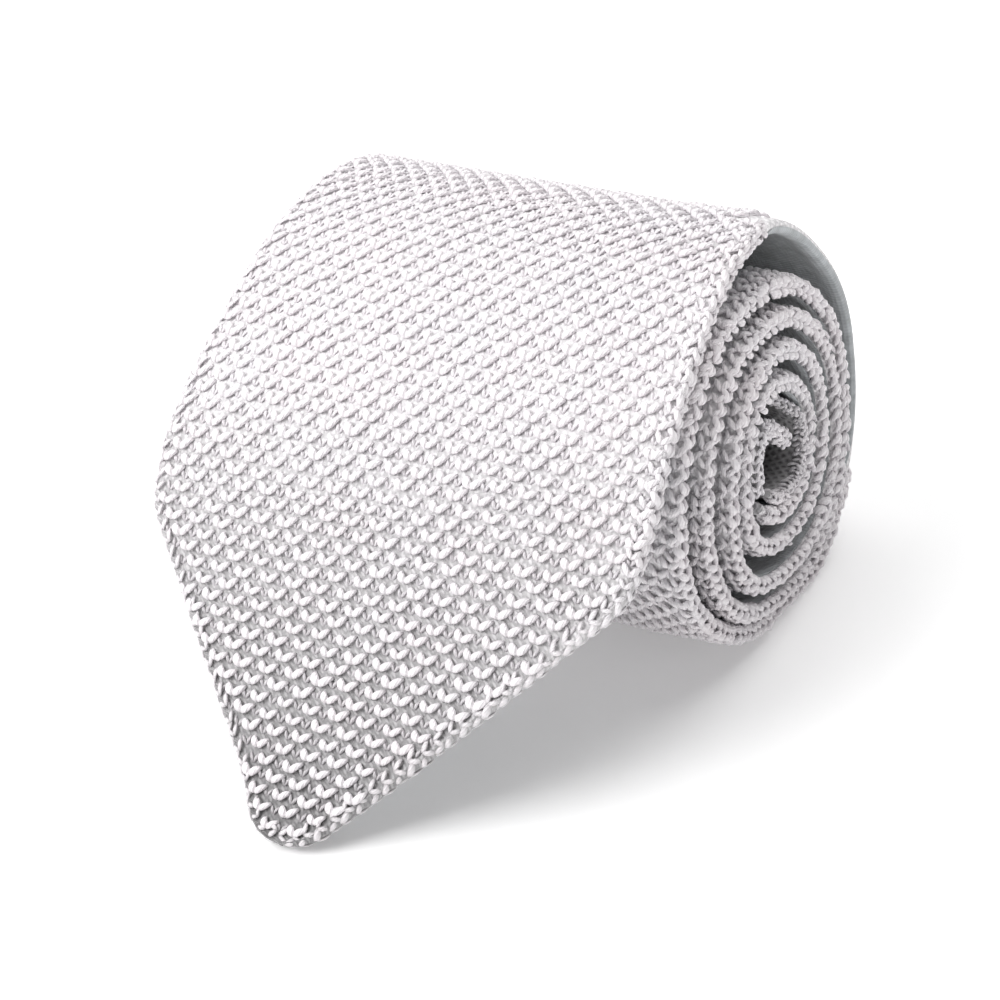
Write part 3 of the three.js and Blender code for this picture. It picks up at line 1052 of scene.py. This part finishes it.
class KNITTIE_OT_core_stitches(bpy.types.Operator):
    """Stitches of the narrow half and the folded neck at the core"""
    bl_idname = "knittie.core_stitches"
    bl_label = "Core stitches"

    def execute(self, context):
        sizes = context.scene.knittie_sizes
        small = stitch(PLAIT_LEG, PLAIT_LEG, 6, 0.7, 0.66)
        # Painted shade deep in the roll: the core's small stitches take more of the grey root colour
        small["painted_shade_height"] = small["painted_shade_height"] - 0.3
        pitch, step = 0.66 * sizes.edge_pitch, 0.72 * BINDING_STEP
        start = float(np.interp(NECK_WIDE_START, NARROW.position, NARROW.length))
        for name, strip, first, seed in (
                ("stitches_core", NARROW, start, 200), ("stitches_neck_fold", FOLD, 0, 260)):
            rim = 0.5 * math.pi * strip.radius
            groups = []
            for column in (-1, 0, 1):
                distances = np.arange(first + pitch * (0.5 if column % 2 else 1),
                                      strip.length[-1], pitch)
                groups.append(edge_stitches(strip, 1, distances, rim + column * step, small,
                                            seed + column))
            finish_piece(join_stitches(name, groups), silky_yarn, "white_knit")
        return {"FINISHED"}


def flat_cut(strip, first=0.0, last=None, inset=0.0):
    """Width, length and area of a strip's cloth laid flat."""
    last = strip.length[-1] if last is None else last
    fine = np.arange(first, last, 0.5 * MM)
    width = 2 * (strip.read(strip.half, fine) - inset)
    return (float(width.max()), float(last - first)), float(width.mean() * (last - first))


class KNITTIE_OT_cuts(bpy.types.Operator):
    """Works out the flat size of each cloth and lists what lies on it, but states nothing"""
    bl_idname = "knittie.cuts"
    bl_label = "Flat cuts"

    def execute(self, context):
        first, last = facing_ends()
        for name, resting, stitches, (flat, area) in (
                ("wide_half_cloth", [], ["stitches_point", "stitches_top_back",
                 "stitches_underside", "stitches_inner_turns", "edge_stitches_open_end",
                 "edge_stitches_hidden_end"], flat_cut(WIDE)),
                ("facing_cloth", ["wide_half_cloth"], [],
                 flat_cut(WIDE, first, last, FACING_INSET)),
                ("narrow_half_cloth", ["facing_cloth"], ["stitches_core"], flat_cut(NARROW)),
                ("neck_fold_cloth", ["narrow_half_cloth"], ["stitches_neck_fold"],
                 flat_cut(FOLD))):
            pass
        return {"FINISHED"}


def aim(thing, target):
    toward = np.array(target) - np.array(thing.location)
    flat = math.hypot(toward[0], toward[1])
    thing.rotation_euler = (math.atan2(flat, -toward[2]), 0, math.atan2(-toward[0], toward[1]))


class KNITTIE_OT_stage(bpy.types.Operator):
    """Pale floor, soft lights and the camera"""
    bl_idname = "knittie.stage"
    bl_label = "Stage"

    def execute(self, context):
        deselect()
        bpy.ops.mesh.primitive_plane_add(size=6, location=(0, 0, 0))
        floor = context.object
        floor.name = "floor"
        floor.data.materials.append(material_of(glowing_floor))
        for name, place, size, power in LIGHTS:
            bpy.ops.object.light_add(type="AREA", location=place)
            light = context.object
            light.name = name
            light.data.size = size
            light.data.energy = power
            aim(light, LIT_PLACE)
        world = bpy.data.worlds.new("studio_world")
        context.scene.world = world
        world.use_nodes = True
        world.node_tree.nodes["Background"].inputs["Color"].default_value = WHITE
        world.node_tree.nodes["Background"].inputs["Strength"].default_value = 0.14
        bpy.ops.object.camera_add(location=CAMERA_PLACE)
        camera = context.object
        camera.name = "camera"
        right, upward, back = CAMERA_AXES
        camera.matrix_world = Matrix([
            [right[k], upward[k], back[k], camera.location[k]] for k in range(3)] + [[0, 0, 0, 1]])
        camera.data.lens = context.scene.knittie_sizes.lens
        camera.data.sensor_width = 36
        camera.data.clip_start = 0.01
        context.scene.camera = camera
        context.scene.view_settings.view_transform = "Standard"
        return {"FINISHED"}


# Name, place, size and power of each light, and the place that they all face
LIGHTS = (
    ("key_light", (-0.26, -0.34, 0.42), 0.4, 3.2),
    ("fill_light", (0.7, -0.45, 0.35), 0.6, 0.3),
    ("top_light", (0.1, 0.25, 0.8), 0.9, 5.8),
)
LIT_PLACE = (0.0, 0.01, 0.03)
# The camera's place, and its right, up and backward directions in the row frame
CAMERA_PLACE = (BOX_HIGH[0] + 101.46 * MM, BOX_LOW[1] - 157.13 * MM, 164.42 * MM)
CAMERA_AXES = ((0.86144, 0.49747, -0.10225), (-0.16091, 0.4583, 0.87411),
               (0.4817, -0.73654, 0.47484))

OPERATORS = (
    KNITTIE_OT_wide_cloth,
    KNITTIE_OT_facing,
    KNITTIE_OT_narrow_cloth,
    KNITTIE_OT_fold_cloth,
    KNITTIE_OT_face_stitches,
    KNITTIE_OT_edge_stitches,
    KNITTIE_OT_core_stitches,
    KNITTIE_OT_cuts,
    KNITTIE_OT_stage,
)


class KNITTIE_PT_panel(bpy.types.Panel):
    """Lists the tie's pieces in the sidebar"""
    bl_idname = "KNITTIE_PT_panel"
    bl_label = "Knit tie"
    bl_space_type = "VIEW_3D"
    bl_region_type = "UI"
    bl_category = "Knit tie"

    def draw(self, context):
        for group in (context.scene.knittie_sizes, context.scene.knittie_colours):
            for name in group.__annotations__:
                self.layout.prop(group, name)
        for operator in OPERATORS:
            self.layout.operator(operator.bl_idname)


def register():
    for part in (KnitTieSizes, KnitTieColours, *OPERATORS, KNITTIE_PT_panel):
        bpy.utils.register_class(part)
    bpy.types.Scene.knittie_sizes = bpy.props.PointerProperty(type=KnitTieSizes)
    bpy.types.Scene.knittie_colours = bpy.props.PointerProperty(type=KnitTieColours)


def unregister():
    del bpy.types.Scene.knittie_colours
    del bpy.types.Scene.knittie_sizes
    for part in (KNITTIE_PT_panel, *reversed(OPERATORS), KnitTieColours, KnitTieSizes):
        bpy.utils.unregister_class(part)


def main():
    register()
    for operator in OPERATORS:
        group, name = operator.bl_idname.split(".")
        getattr(getattr(bpy.ops, group), name)()


if __name__ == "__main__":
    main()
